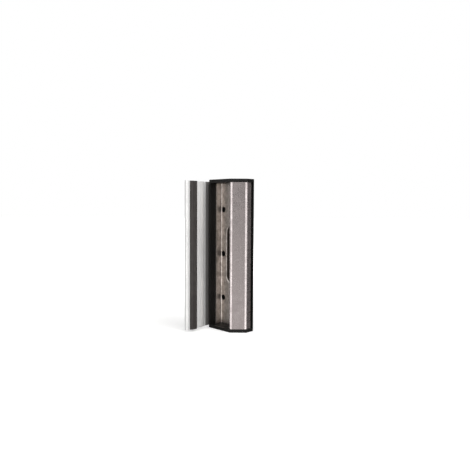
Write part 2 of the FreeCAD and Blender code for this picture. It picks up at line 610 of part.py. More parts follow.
# ---------------------------------------------------------------- keeper, its pivots and its spring
def keeper_jaw():
    """Stainless shell, open at the back, with end ears and two cross webs bored for the locking pin."""
    body = new_body("keeper_jaw")
    outline = polygon(body, "outline", [
        ("jaw_side", "-jaw_tail"), ("jaw_side", "jaw_side - jaw_slope"),
        ("jaw_slope - jaw_front", "-jaw_front"), ("jaw_nose", "-jaw_front"), ("jaw_nose", "-web_back"),
        ("pivot_x - ear_radius_x", "-web_back"), ("pivot_x - ear_radius_x", "-jaw_tail - ear_land"),
        ("pivot_x - ear_nip", "-jaw_tail"),
    ], offset="-jaw_half")
    pad(body, outline, "2 * jaw_half")
    fillet(body, "nose_radius", [("jaw_nose", "-jaw_front", "0"),
                                 ("jaw_slope - jaw_front", "-jaw_front", "0")])
    fillet(body, "side_radius", [("jaw_side", "jaw_side - jaw_slope", "0")])
    inner_slope = f"{value('jaw_slope') - value('jaw_thick') * math.sqrt(2):.4f}"
    inner_side = "jaw_side - jaw_thick"
    inner_front = "jaw_front - jaw_thick"
    hollow = [
        (inner_side, "0"), (inner_side, f"{inner_side} - {inner_slope}"),
        (f"{inner_slope} - ({inner_front})", f"-({inner_front})"),
        ("jaw_nose + jaw_thick", f"-({inner_front})"), ("jaw_nose + jaw_thick", "-lip_depth"),
        ("0", "-lip_depth"), ("0", "0"),
    ]
    levels = (("low", "-jaw_half + ear_thick", "jaw_half - ear_thick - web_high"),
              ("mid", "-web_low", "2 * web_low"),
              ("top", "web_high", "jaw_half - ear_thick - web_high"))
    for label, low, tall in levels:
        pocket(body, polygon(body, f"hollow_{label}", hollow, offset=low), tall)
    fillet(body, "side_radius - jaw_thick", [(inner_side, f"{inner_side} - {inner_slope}", "0")])
    fillet(body, "nose_radius - jaw_thick", [
        (f"{inner_slope} - ({inner_front})", f"-({inner_front})", "0"),
        ("jaw_nose + jaw_thick", f"-({inner_front})", "0")])
    lug = [("lug_x", "-web_back"), ("jaw_nose + lug_overlap", "-web_back"),
           ("jaw_nose + lug_overlap", "-lug_front"), ("jaw_nose + lug_step", "-lug_front"),
           ("lug_x", "-lug_depth")]
    for label, low in (("low", "-web_high"), ("top", "web_low")):
        pad(body, polygon(body, f"lug_{label}", lug, offset=low), "web_high - web_low")
    for label, low in (("low", "-web_high"), ("top", "web_low")):
        keyhole = circles(body, f"keyhole_{label}", [("coil_x", "-coil_depth")], "keyhole_radius",
                          offset=low)
        pocket(body, keyhole, "web_high - web_low")
    bore = circles(body, "bore", [("pivot_x", "-pivot_depth")], "pivot_radius + pivot_play",
                   offset="-jaw_half")
    pocket(body, bore, "2 * jaw_half")
    anchor = circles(body, "anchor", [("pivot_x + torsion_radius", "-pivot_depth")],
                     "torsion_wire + torsion_clear", offset="jaw_half - ear_thick")
    pocket(body, anchor, "ear_thick")
    return body


def keeper_pivot_pins():
    """The keeper turns on two pins pressed into the caps; the upper one is long and carries the spring."""
    low = cylinder("pivot_low", "pivot_radius", "height / 2 - pivot_short", "pivot_x", "-pivot_depth",
                   "-height / 2")
    high = cylinder("pivot_high", "pivot_radius", "height / 2 - pivot_long", "pivot_x", "-pivot_depth",
                    "pivot_long")
    return group("keeper_pivot_pins", low, high)


def keeper_buffers():
    """Rubber pads under the webs' back edges, where the closed keeper comes to rest."""
    pads = [box(f"buffer{i}", ("buffer_left", "-web_back + buffer_gap", low),
                ("buffer_right", f"-({FLOOR})", f"{low} + buffer_high - buffer_low"))
            for i, low in enumerate(("-buffer_high", "buffer_low"))]
    return group("keeper_buffers", *pads)


# ---------------------------------------------------------------- solenoid and locking pin
def rounded_plate(body, name, low, thick):
    """A plate that reaches back to the floor plate and ends forward in a half circle about the coil."""
    square = polygon(body, f"{name}_square", [
        ("coil_x - yoke_radius", "-coil_depth"), ("coil_x + yoke_radius", "-coil_depth"),
        ("coil_x + yoke_radius", "-yoke_back"), ("coil_x - yoke_radius", "-yoke_back"),
    ], offset=low)
    pad(body, square, thick)
    nose = circles(body, f"{name}_nose", [("coil_x", "-coil_depth")], "yoke_radius", offset=low)
    pad(body, nose, thick)


def solenoid_yoke():
    """Steel frame round the coil: a foot, a back and a top with a hole for the armature."""
    body = new_body("solenoid_yoke")
    rounded_plate(body, "foot", "yoke_low", "yoke_thick")
    back = polygon(body, "back", [
        ("coil_x - yoke_radius", "-yoke_back"), ("coil_x + yoke_radius", "-yoke_back"),
        ("coil_x + yoke_radius", "-yoke_back - bracket_thick"),
        ("coil_x - yoke_radius", "-yoke_back - bracket_thick"),
    ], offset="yoke_low")
    pad(body, back, "yoke_high - yoke_low")
    rounded_plate(body, "top", "yoke_high - yoke_thick", "yoke_thick")
    seat = circles(body, "seat", [("coil_x", "-coil_depth")], "pole_radius", offset="yoke_low")
    pocket(body, seat, "yoke_thick")
    mouth = circles(body, "mouth", [("coil_x", "-coil_depth")], "tube_bore + stem_play",
                    offset="yoke_high - yoke_thick")
    pocket(body, mouth, "yoke_thick")
    taps = circles(body, "taps", stage_screws(), "stage_screw_radius", offset="yoke_low")
    pocket(body, taps, "yoke_thick")
    return body


def stage_screws():
    return [(f"coil_x {sign} stage_screw_offset", "-coil_depth + stage_screw_offset") for sign in "-+"]


def on_coil_axis(name, radius, low, high):
    return cylinder(name, radius, f"({high}) - ({low})", "coil_x", "-coil_depth", low)


def solenoid_pole():
    """Fixed pole: a plug in the lower end of the spool, bored for the pin's stem."""
    return cut("solenoid_pole", on_coil_axis("pole_blank", "pole_radius", "yoke_low", "pole_high"),
               on_coil_axis("pole_bore", "stem_radius + stem_play", "yoke_low", "pole_high"))


def solenoid_bobbin():
    """Moulded spool with two flanges."""
    low, high = "yoke_low + yoke_thick", "yoke_high - yoke_thick"
    spool = fuse("spool", on_coil_axis("spool_tube", "tube_radius", low, high),
                 on_coil_axis("spool_foot", "spool_radius", low, f"{low} + flange_thick"),
                 on_coil_axis("spool_head", "spool_radius", f"{high} - flange_thick", high))
    return cut("solenoid_bobbin", spool, on_coil_axis("spool_bore", "tube_bore", low, high))


def solenoid_coil():
    """Copper winding, as one closed sleeve round the spool."""
    low, high = "yoke_low + yoke_thick + flange_thick", "yoke_high - yoke_thick - flange_thick"
    return cut("solenoid_coil", on_coil_axis("winding", "winding_radius", low, high),
               on_coil_axis("winding_bore", "tube_radius", low, high))


def solenoid_plunger():
    """Armature that the coil draws down onto the pole."""
    blank = fuse("armature_blank", on_coil_axis("armature_rod", "armature_radius",
                                                "armature_low", "armature_high - tip_break"),
                 cone("armature_tip", "armature_radius", "armature_radius - tip_break", "tip_break",
                      "coil_x", "-coil_depth", "armature_high - tip_break"))
    return cut("solenoid_plunger", blank,
               on_coil_axis("armature_bore", "stem_radius", "armature_low", "armature_low + stem_socket"))


def locking_pin():
    """Hardened pin: a blunt tip, a guided length, a spring collar and a stem pressed into the armature."""
    return fuse("locking_pin",
                cone("pin_point", "pin_radius - point_taper", "pin_radius", "point_length",
                     "coil_x", "-coil_depth", "pin_tip"),
                on_coil_axis("pin_shank", "pin_radius", "pin_tip + point_length", "collar_low"),
                on_coil_axis("pin_collar", "collar_radius", "collar_low", "collar_low + collar_thick"),
                on_coil_axis("pin_stem", "stem_radius", "collar_low + collar_thick",
                             "armature_low + stem_socket"))


def plunger_return_spring():
    """Spring between the bush's head and the pin's collar, which lifts the pin when the power is off."""
    spring = coil_spring("plunger_spring", "return_wire", "return_radius", "return_length", "return_turns",
                         "coil_x", "-coil_depth", "bracket_low + shelf_thick + return_seat")
    spring.Label = "plunger_return_spring"
    return spring


def guide_bush():
    """Flanged bronze bush that guides the pin and takes the keeper's load."""
    top = "bracket_low + shelf_thick"
    blank = fuse("bush_blank", on_coil_axis("bush_sleeve", "bush_radius", "bush_low", top),
                 on_coil_axis("bush_head", "bush_flange", top, f"{top} + bush_head"))
    return cut("guide_bush", blank,
               on_coil_axis("bush_bore", "pin_radius + bush_play", "bush_low", f"{top} + bush_head"))


def mechanism_bracket():
    """Steel channel screwed to the floor plate: a lower shelf for the bush, a stage for the solenoid."""
    body = new_body("mechanism_bracket")
    rounded_plate(body, "shelf", "bracket_low", "shelf_thick")
    back = polygon(body, "back", [
        ("coil_x - yoke_radius", f"-({FLOOR})"), ("coil_x + yoke_radius", f"-({FLOOR})"),
        ("coil_x + yoke_radius", f"-({FLOOR}) - bracket_thick"),
        ("coil_x - yoke_radius", f"-({FLOOR}) - bracket_thick"),
    ], offset="bracket_low")
    pad(body, back, "yoke_low - bracket_low")
    rounded_plate(body, "stage", "stage_low", "yoke_low - stage_low")
    bush = circles(body, "bush", [("coil_x", "-coil_depth")], "bush_radius", offset="bracket_low")
    pocket(body, bush, "shelf_thick")
    stem = circles(body, "stem", [("coil_x", "-coil_depth")], "stem_radius + 4 * stem_play",
                   offset="stage_low")
    pocket(body, stem, "yoke_low - stage_low")
    taps = circles(body, "taps", stage_screws(), "stage_screw_radius", offset="stage_low")
    pocket(body, taps, "yoke_low - stage_low")
    holes = circles(body, "holes", [(x, "bracket_screw_z") for x in BRACKET_SCREW_X],
                    "plate_screw_radius", plane="XZ", offset=FLOOR)
    pocket(body, holes, "bracket_thick")
    return body


def bracket_screws():
    return group("bracket_screws", *[
        cap_screw(f"bracket_screw{i}", "plate_screw_radius", "plate_screw_head", "plate_screw_tall",
                  f"bracket_thick + {FLOOR} - plate_screw_stop",
                  x, f"-({FLOOR}) - bracket_thick", "bracket_screw_z", "Y")
        for i, x in enumerate(BRACKET_SCREW_X)])


def solenoid_screws():
    return group("solenoid_screws", *[
        cap_screw(f"solenoid_screw{i}", "stage_screw_radius", "stage_screw_head", "stage_screw_tall",
                  "yoke_low - stage_low + yoke_thick",
                  x, y, "stage_low", "Z")
        for i, (x, y) in enumerate(stage_screws())])


# ---------------------------------------------------------------- covers behind the keeper
def cover_outline(inset):
    """The cover's section, drawn in from its outer face by an inset."""
    front = f"cover_front - {inset}"
    left = f"cover_left + {inset}"
    right = f"step_x - {inset}"
    slope = f"cover_slope - {inset} * sqrt(2)"
    bevel = f"cover_bevel - {inset} * sqrt(2)"
    return left, right, front, slope, bevel


def cover(name, low, high):
    """A black moulded shell, open towards the floor plate, with two feet that are screwed down."""
    body = new_body(name)
    sections = []
    for inset in ("0", "cover_wall"):
        left, right, front, slope, bevel = cover_outline(inset)
        sections.append([
            (left, f"-({FLOOR})"), (right, f"-({FLOOR})"), (right, f"{right} - ({bevel})"),
            (f"{bevel} - ({front})", f"-({front})"), (f"{front} - ({slope})", f"-({front})"),
            (left, f"-({slope}) - ({left})"),
        ])
    pad(body, polygon(body, "outside", sections[0], offset=low), f"({high}) - ({low})")
    fillet(body, "cover_round", [(x, y, "0") for x, y in sections[0][2:]])
    centres = [z if value(low) > 0 else f"-{z}" for z in COVER_SCREW_Z]
    tip, root = "cover_left - foot_reach", "cover_left + foot_root"
    for i, z in enumerate(centres):
        foot = [(tip, f"{z} - foot_half"), (root, f"{z} - foot_half"),
                (root, f"{z} + foot_half"), (tip, f"{z} + foot_half")]
        pad(body, polygon(body, f"foot{i}", foot, plane="XZ", offset=FLOOR), "foot_thick")
    inside = polygon(body, "inside", sections[1], offset=f"{low} + cover_wall")
    pocket(body, inside, f"({high}) - ({low}) - 2 * cover_wall")
    holes = circles(body, "holes", [("cover_left - foot_screw", z) for z in centres], "plate_screw_radius",
                    plane="XZ", offset=FLOOR)
    pocket(body, holes, "foot_thick")
    return body


def mechanism_cover():
    body = cover("mechanism_cover", "cover_low", "cover_high")
    mouth = circles(body, "mouth", [("coil_x", "-coil_depth")], "bush_flange", offset="cover_low")
    pocket(body, mouth, "cover_wall")
    leg = circles(body, "leg", [("-pivot_depth - torsion_radius", "torsion_low")],
                  "torsion_wire + torsion_clear", plane="YZ", offset="step_x - cover_wall")
    pocket(body, leg, "cover_wall")
    return body


def terminal_cover():
    return cover("terminal_cover", "-cover_high", "-cover_low")


def cover_screws():
    return group("cover_screws", *[
        cap_screw(f"cover_screw{sign}{z}", "plate_screw_radius", "plate_screw_head", "plate_screw_tall",
                  f"{FLOOR} + foot_thick - plate_screw_stop",
                  "cover_left - foot_screw", f"-({FLOOR}) - foot_thick", f"{sign}{z}", "Y")
        for sign in ("", "-") for z in COVER_SCREW_Z])


# ---------------------------------------------------------------- wiring
def terminal_block():
    """Two-way terminal block: a moulded body with two through wire ways and a screw well for each."""
    body = box("terminal_body", ("terminal_left", "-terminal_front", "-terminal_low"),
               ("terminal_right", f"-({FLOOR})", "-terminal_high"))
    tools = []
    for i, x in enumerate(TERMINAL_X):
        tools.append(cylinder(f"terminal_way{i}", "way_radius", "terminal_low - terminal_high",
                              x, "-terminal_depth", "-terminal_low"))
        tools.append(cylinder(f"terminal_well{i}", "well_radius", "terminal_front - well_depth",
                              x, "-well_depth", "-well_z", "-Y"))
    return cut("terminal_block", body, *tools)


def terminal_clamps():
    """Brass sleeves in the block's wire ways."""
    sleeves = []
    for i, x in enumerate(TERMINAL_X):
        spot = (x, "-terminal_depth", "-terminal_low + sleeve_inset")
        length = "terminal_low - terminal_high - 2 * sleeve_inset"
        sleeves.append(cut(f"terminal_sleeve{i}", cylinder(f"sleeve_out{i}", "way_radius", length, *spot),
                           cylinder(f"sleeve_bore{i}", "sleeve_bore", length, *spot)))
    return group("terminal_clamps", *sleeves)


def terminal_screws():
    screws = []
    for i, x in enumerate(TERMINAL_X):
        head = cylinder(f"terminal_screw_blank{i}", "clamp_radius", "clamp_tall",
                        x, "-well_depth", "-well_z", "-Y")
        groove = box(f"terminal_screw_slot{i}",
                     (f"{x} - well_radius", "-well_depth - clamp_tall", "-well_z - clamp_groove_half"),
                     (f"{x} + well_radius", "-well_depth - clamp_tall + clamp_groove",
                      "-well_z + clamp_groove_half"))
        screws.append(cut(f"terminal_screw{i}", head, groove))
    return group("terminal_screws", *screws)


def coil_lead(name, lead_x, depth, terminal_x, start_z):
    """A lead from the winding, through the tray to its back groove, and down to its terminal."""
    corners = [
        ("coil_x - winding_radius - lead_gap", "-coil_depth", start_z),
        (lead_x, "-coil_depth", start_z),
        (lead_x, f"-({depth})", "lead_hole_z"),
        (lead_x, "-lead_back", "lead_hole_z"),
        (lead_x, "-lead_back", "-lead_hole_z"),
        (lead_x, f"-({depth})", "-lead_hole_z"),
        (terminal_x, "-terminal_depth", "-terminal_high + 2 * sleeve_inset"),
        (terminal_x, "-terminal_depth", "-well_z"),
    ]
    return bent_wire(name, corners, "lead_radius", "lead_bend")


def cable_grommet():
    """Rubber bush, flanged on the floor plate, that lines the supply cable's way through the tray."""
    blank = fuse("grommet_blank",
                 cylinder("grommet_sleeve", "grommet_radius", FLOOR, "coil_x", "0", "-grommet_z", "-Y"),
                 cylinder("grommet_flange", "grommet_radius + grommet_lip", "grommet_lip", "coil_x",
                          f"-({FLOOR})", "-grommet_z", "-Y"))
    return cut("cable_grommet", blank, cylinder("grommet_way", "grommet_bore", f"{FLOOR} + grommet_lip",
                                                "coil_x", "0", "-grommet_z", "-Y"))


def keeper_torsion_spring():
    """Spring round the upper pivot pin: one leg in the mechanism cover, the other in the keeper's ear."""
    coil = coil_spring("torsion", "torsion_wire", "torsion_radius", "torsion_high - torsion_low",
                       "torsion_turns", "pivot_x", "-pivot_depth", "torsion_low")
    # the coil starts at its side nearest the gate, and ends a quarter turn on, towards +X
    coil.Placement = Placement(coil.Placement.Base, Rotation(Vector(0, 0, 1), 270))
    cover_leg = cylinder("torsion_cover_leg", "torsion_wire", "pivot_x - step_x + torsion_leg",
                         "pivot_x", "-pivot_depth - torsion_radius", "torsion_low", "-X")
    ear_leg = cylinder("torsion_ear_leg", "torsion_wire", "jaw_half - torsion_high - torsion_end",
                       "pivot_x + torsion_radius", "-pivot_depth", "torsion_high")
    ear_knee = doc.addObject("Part::Sphere", "torsion_knee")
    bind(ear_knee, "Radius", "torsion_wire")
    place(ear_knee, "pivot_x + torsion_radius", "-pivot_depth", "torsion_high")
    return fuse("keeper_torsion_spring", coil, cover_leg, ear_knee, ear_leg)


# ---------------------------------------------------------------- build, check and write
def build():
    cap_low = "-height / 2"
    cap_high = INNER
    parts = {
        "base_tray": base_tray(), "floor_plate": floor_plate(),
        "end_cap_top": end_cap("end_cap_top", cap_high),
        "end_cap_bottom": end_cap("end_cap_bottom", cap_low),
        "cap_screws_top": cap_screws("cap_screws_top", "height / 2", "-Z"),
        "cap_screws_bottom": cap_screws("cap_screws_bottom", "-height / 2", "Z"),
        "stop_wing": stop_wing(), "wing_screws": wing_screws(), "stop_strip": stop_strip(),
        "keeper_jaw": keeper_jaw(), "keeper_pivot_pins": keeper_pivot_pins(),
        "keeper_buffers": keeper_buffers(), "keeper_torsion_spring": keeper_torsion_spring(),
        "solenoid_yoke": solenoid_yoke(), "solenoid_pole": solenoid_pole(),
        "solenoid_bobbin": solenoid_bobbin(), "solenoid_coil": solenoid_coil(),
        "solenoid_plunger": solenoid_plunger(), "locking_pin": locking_pin(),
        "plunger_return_spring": plunger_return_spring(), "guide_bush": guide_bush(),
        "mechanism_bracket": mechanism_bracket(), "bracket_screws": bracket_screws(),
        "solenoid_screws": solenoid_screws(), "mechanism_cover": mechanism_cover(),
        "terminal_cover": terminal_cover(), "cover_screws": cover_screws(),
        "terminal_block": terminal_block(), "terminal_clamps": terminal_clamps(),
        "terminal_screws": terminal_screws(),
        "coil_lead_red": coil_lead(
            "coil_lead_red", "lead_x - lead_pitch / 2", "lead_depth", TERMINAL_X[0], "red_start"),
        "coil_lead_black": coil_lead(
            "coil_lead_black", "lead_x + lead_pitch / 2", "lead_cross", TERMINAL_X[1], "black_start"),
        "cable_grommet": cable_grommet(),
    }
    doc.recompute()
    return parts


def write(parts):
    for obj in doc.Objects:
        if {"Invalid", "Error"} & set(obj.State):
            raise RuntimeError(f"{obj.Name}: {obj.State}")
    for node, obj in parts.items():
        shape = obj.Shape
        if shape.isNull() or not shape.isValid() or not shape.Solids:
            raise RuntimeError(f"{node}: bad shape")
    os.makedirs("parts", exist_ok=True)
    for node, obj in parts.items():
        obj.Shape.exportStep(f"parts/{node}.step")
        print(f"{node}: {len(obj.Shape.Solids)} solid(s), {obj.Shape.Volume:.1f} mm3")


write(build())
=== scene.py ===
import json
import math

import bmesh
import bpy
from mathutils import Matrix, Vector


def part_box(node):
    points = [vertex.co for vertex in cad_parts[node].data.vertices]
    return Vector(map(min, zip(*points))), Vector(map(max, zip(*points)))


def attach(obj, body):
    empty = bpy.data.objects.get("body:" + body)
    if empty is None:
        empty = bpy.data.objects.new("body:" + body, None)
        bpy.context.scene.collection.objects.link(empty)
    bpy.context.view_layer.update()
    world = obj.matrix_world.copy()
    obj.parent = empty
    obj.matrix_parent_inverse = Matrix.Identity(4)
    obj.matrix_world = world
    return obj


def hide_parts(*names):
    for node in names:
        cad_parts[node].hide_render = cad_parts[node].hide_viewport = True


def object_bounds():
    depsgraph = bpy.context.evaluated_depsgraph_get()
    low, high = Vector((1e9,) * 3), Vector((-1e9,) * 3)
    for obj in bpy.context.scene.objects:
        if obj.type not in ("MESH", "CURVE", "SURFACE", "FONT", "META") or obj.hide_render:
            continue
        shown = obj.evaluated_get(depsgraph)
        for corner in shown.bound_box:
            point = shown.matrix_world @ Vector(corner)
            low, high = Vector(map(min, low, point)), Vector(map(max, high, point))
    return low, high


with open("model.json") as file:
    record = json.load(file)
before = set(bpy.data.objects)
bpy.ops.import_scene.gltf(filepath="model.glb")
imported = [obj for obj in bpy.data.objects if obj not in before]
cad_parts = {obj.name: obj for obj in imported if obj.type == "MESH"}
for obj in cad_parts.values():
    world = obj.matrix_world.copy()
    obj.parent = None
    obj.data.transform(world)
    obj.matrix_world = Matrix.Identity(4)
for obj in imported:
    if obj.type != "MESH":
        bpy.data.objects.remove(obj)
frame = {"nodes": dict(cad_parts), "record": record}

cad_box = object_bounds()
NODES = frame["nodes"]
MM = 0.001

# ---------------------------------------------------------------- materials


# Dark colour for the stains round the fixing holes, and for the painted shade in recesses behind the plate's
# face.
DIRT_AND_SHADE = (0.035, 0.030, 0.027)
# The wing's gap is darker in the photo than its shape and the lights make it, so its shade is painted on.
GAP_SHADE = (0.20, 0.195, 0.19)
GAP_MOUTH, GAP_DEEP = -27.8 * MM, -26.2 * MM  # Y where the wing's gap starts to darken, and is dark
GAP_BACK, GAP_FACE = -27.6 * MM, -26.8 * MM  # X between the wing's clean back and the gap
SCRATCH_SPREAD = (700.0, 240.0, 2600.0)  # features per metre, as in every noise scale and stretch here
CLOUD_SHARE = 0.62  # of steel's tone; fine speckle and long lines share the rest
STEEL_EDGE = 0.3 * MM
STEEL_RELIEF = 0.015 * MM
# Depth over which the painted recess shade fades in.
RECESS_SHADE_FADE = 1.2 * MM
SOFT_EDGE = 0.25 * MM
RUBBER_EDGE = 0.3 * MM
METAL_EDGE = 0.15 * MM


def scaled(colour, factor):
    """A colour darkened or brightened by a factor, kept at or below full."""
    return tuple(min(1.0, channel * factor) for channel in colour)


class Nodes:
    """A node tree, emptied, and short ways to fill it."""

    def __init__(self, tree):
        self.tree = tree
        self.tree.nodes.clear()

    def add(self, kind, **settings):
        node = self.tree.nodes.new(kind)
        for key, value in settings.items():
            setattr(node, key, value)
        return node

    def link(self, source, target):
        self.tree.links.new(source, target)

    def feed(self, target, value):
        """Sets a socket to a number or colour, or links another socket to it."""
        if isinstance(value, bpy.types.NodeSocket):
            self.link(value, target)
        elif isinstance(value, tuple) and len(value) == 3 and target.type == "RGBA":
            target.default_value = (*value, 1.0)
        else:
            target.default_value = value

    def spread(self, value, low, high, to_low=0.0, to_high=1.0):
        """value from low..high to to_low..to_high, smoothly and kept inside."""
        node = self.add("ShaderNodeMapRange", interpolation_type="SMOOTHSTEP")
        self.link(value, node.inputs["Value"])
        node.inputs["From Min"].default_value = low
        node.inputs["From Max"].default_value = high
        node.inputs["To Min"].default_value = to_low
        node.inputs["To Max"].default_value = to_high
        return node.outputs["Result"]

    def math(self, operation, a, b):
        node = self.add("ShaderNodeMath", operation=operation)
        self.feed(node.inputs[0], a)
        self.feed(node.inputs[1], b)
        return node.outputs["Value"]

    def measure(self, operation, a, b):
        """The number that a vector operation makes of two vectors."""
        node = self.add("ShaderNodeVectorMath", operation=operation)
        self.feed(node.inputs[0], a)
        self.feed(node.inputs[1], b)
        return node.outputs["Value"]


class Finish(Nodes):
    """One procedural material: a Principled shader and the nodes that feed its colour, roughness and bump."""

    def __init__(self, name, metallic, specular=0.5, coat=0.0, coat_roughness=0.2):
        self.material = bpy.data.materials.new(name)
        self.material.use_nodes = True
        super().__init__(self.material.node_tree)
        output = self.add("ShaderNodeOutputMaterial")
        self.shader = self.add("ShaderNodeBsdfPrincipled")
        self.shader.inputs["Metallic"].default_value = metallic
        self.shader.inputs["Specular IOR Level"].default_value = specular
        self.shader.inputs["Coat Weight"].default_value = coat
        self.shader.inputs["Coat Roughness"].default_value = coat_roughness
        self.link(self.shader.outputs["BSDF"], output.inputs["Surface"])
        self.position = self.add("ShaderNodeTexCoord").outputs["Object"]

    def stretched(self, x, y, z):
        """The position in units of 1/x, 1/y and 1/z metres."""
        node = self.add("ShaderNodeMapping")
        node.inputs["Scale"].default_value = (x, y, z)
        self.link(self.position, node.inputs["Vector"])
        return node.outputs["Vector"]

    def noise(self, scale, detail=3.0, roughness=0.55, vector=None, distortion=0.0):
        node = self.add("ShaderNodeTexNoise")
        self.link(vector or self.position, node.inputs["Vector"])
        node.inputs["Scale"].default_value = scale
        node.inputs["Detail"].default_value = detail
        node.inputs["Roughness"].default_value = roughness
        node.inputs["Distortion"].default_value = distortion
        return node.outputs["Fac"]

    def mix(self, factor, a, b):
        node = self.add("ShaderNodeMix", data_type="RGBA")
        self.feed(node.inputs["Factor"], factor)
        self.feed(node.inputs["A"], a)
        self.feed(node.inputs["B"], b)
        return node.outputs["Result"]

    def near(self, point, reach):
        """1 at a point of the row frame, falling to 0 at reach metres from it."""
        return self.spread(self.distance(point), 0.0, reach, 1.0, 0.0)

    def distance(self, point):
        return self.measure("DISTANCE", self.position, point)

    def glow(self, strength):
        self.shader.inputs["Emission Color"].default_value = (1.0, 1.0, 1.0, 1.0)
        self.feed(self.shader.inputs["Emission Strength"], strength)

    def along(self, axis):
        node = self.add("ShaderNodeSeparateXYZ")
        self.link(self.position, node.inputs["Vector"])
        return node.outputs[axis]

    def rounded(self, radius):
        """The normal of the surface as if its edges were rounded by radius."""
        node = self.add("ShaderNodeBevel", samples=4)
        node.inputs["Radius"].default_value = radius
        return node.outputs["Normal"]

    def edge_mask(self, radius):
        """1 on an edge within radius, 0 on a flat face."""
        rounded = self.rounded(radius)
        plain = self.add("ShaderNodeNewGeometry").outputs["Normal"]
        return self.spread(self.measure("DOT_PRODUCT", rounded, plain), 0.97, 0.80)

    def bump(self, height, depth, normal=None):
        node = self.add("ShaderNodeBump")
        node.inputs["Strength"].default_value = 1.0
        node.inputs["Distance"].default_value = depth
        self.link(height, node.inputs["Height"])
        if normal is not None:
            self.link(normal, node.inputs["Normal"])
        return node.outputs["Normal"]

    def finish(self, colour, roughness, normal):
        self.feed(self.shader.inputs["Base Color"], colour)
        self.feed(self.shader.inputs["Roughness"], roughness)
        self.link(normal, self.shader.inputs["Normal"])
        return self.material


def steel(name, pale, dark, blotch, grain, rough, streak, scratch, speckle, stains=(), recess_shade_from=None):
    """Mill-finish or brushed stainless sheet: cloudy blotches, grain along its length, scratches, stains.

    Shade is also painted, in cloudy patches, on every surface lying further back along +Y than the depth
    given last, as in a recess.
    """
    f = Finish(name, metallic=1.0)
    clouds = f.noise(blotch, detail=5.0, roughness=0.62, distortion=0.4)
    fine = f.noise(grain, detail=2.0, roughness=0.7)
    lines = f.noise(1.0, detail=4.0, roughness=0.6, vector=f.stretched(*streak))
    tone = f.math("ADD", f.math("MULTIPLY", clouds, CLOUD_SHARE), f.math("MULTIPLY", fine, speckle))
    tone = f.math("ADD", tone, f.math("MULTIPLY", lines, 1.0 - CLOUD_SHARE - speckle))
    tone = f.spread(tone, 0.34, 0.66)
    colour = f.mix(tone, dark, pale)
    marks = f.spread(f.noise(1.0, detail=1.0, vector=f.stretched(*SCRATCH_SPREAD)), 0.70, 0.76)
    colour = f.mix(f.math("MULTIPLY", marks, scratch), colour, scaled(dark, 0.55))
    for point, reach, strength in stains:
        colour = f.mix(f.math("MULTIPLY", f.near(point, reach), strength), colour, DIRT_AND_SHADE)
    # Painted shade in recesses behind the face, mottled by the clouds.
    if recess_shade_from is not None:
        depth = f.spread(f.along("Y"), recess_shade_from, recess_shade_from + RECESS_SHADE_FADE)
        colour = f.mix(f.math("MULTIPLY", depth, f.spread(clouds, 0.2, 0.6, 0.55, 0.85)), colour, DIRT_AND_SHADE)
    roughness = f.spread(f.math("ADD", f.math("MULTIPLY", clouds, 0.7), f.math("MULTIPLY", lines, 0.3)),
                         0.3, 0.7, rough[1], rough[0])
    height = f.math("ADD", lines, f.math("MULTIPLY", fine, 0.4))
    normal = f.bump(height, STEEL_RELIEF, f.rounded(STEEL_EDGE))
    return f.finish(colour, roughness, normal)


def coat(name, colour, worn_and_highlit, rough, grain, depth, edge):
    """Powder coat or cast satin black: fine orange peel, dull patches, and paler edges, partly rubbing wear
    and partly a painted highlight.
    """
    f = Finish(name, metallic=0.0, specular=0.28)
    peel = f.noise(grain, detail=3.0, roughness=0.6)
    patches = f.noise(140.0, detail=4.0, roughness=0.6)
    # Paler edges: partly rubbing wear, partly a painted highlight along the edges.
    rubbed_and_highlit = f.math("MULTIPLY", f.edge_mask(edge), f.spread(patches, 0.35, 0.62, 0.25, 1.0))
    shade = f.mix(f.spread(patches, 0.3, 0.7), scaled(colour, 0.8), scaled(colour, 1.25))
    shade = f.mix(f.math("MULTIPLY", rubbed_and_highlit, 0.55), shade, worn_and_highlit)
    roughness = f.spread(patches, 0.3, 0.7, rough[0], rough[1])
    return f.finish(shade, roughness, f.bump(peel, depth, f.rounded(edge)))


def anodised(name, pale, dark, rough):
    """Satin anodised extrusion: die lines along its length, clouds, and a painted shadow in its gap."""
    f = Finish(name, metallic=0.3)
    die = f.noise(1.0, detail=4.0, roughness=0.65, vector=f.stretched(2600.0, 2600.0, 22.0))
    clouds = f.noise(60.0, detail=4.0, roughness=0.55)
    tone = f.math("ADD", f.math("MULTIPLY", die, 0.6), f.math("MULTIPLY", clouds, 0.4))
    colour = f.mix(f.spread(tone, 0.34, 0.62), dark, pale)
    gap = f.math("MULTIPLY", f.spread(f.along("Y"), GAP_MOUTH, GAP_DEEP),
                 f.spread(f.along("X"), GAP_BACK, GAP_FACE))
    colour = f.mix(gap, colour, GAP_SHADE)
    roughness = f.spread(tone, 0.35, 0.65, rough[1], rough[0])
    return f.finish(colour, roughness, f.bump(die, 0.02 * MM, f.rounded(SOFT_EDGE)))


def rubber(name, colour, dusty):
    """Matt rubber: fine grain, and dust in soft patches."""
    f = Finish(name, metallic=0.0, specular=0.35)
    skin = f.noise(2200.0, detail=2.0, roughness=0.6)
    drawn = f.noise(1.0, detail=3.0, vector=f.stretched(1500.0, 1500.0, 30.0))
    dust = f.spread(f.noise(90.0, detail=4.0, roughness=0.6), 0.42, 0.72)
    shade = f.mix(f.math("MULTIPLY", dust, 0.6), colour, dusty)
    shade = f.mix(f.math("MULTIPLY", drawn, 0.25), shade, scaled(colour, 0.6))
    height = f.math("ADD", f.math("MULTIPLY", skin, 0.5), drawn)
    normal = f.bump(height, 0.03 * MM, f.rounded(RUBBER_EDGE))
    return f.finish(shade, f.spread(dust, 0.0, 1.0, 0.62, 0.85), normal)


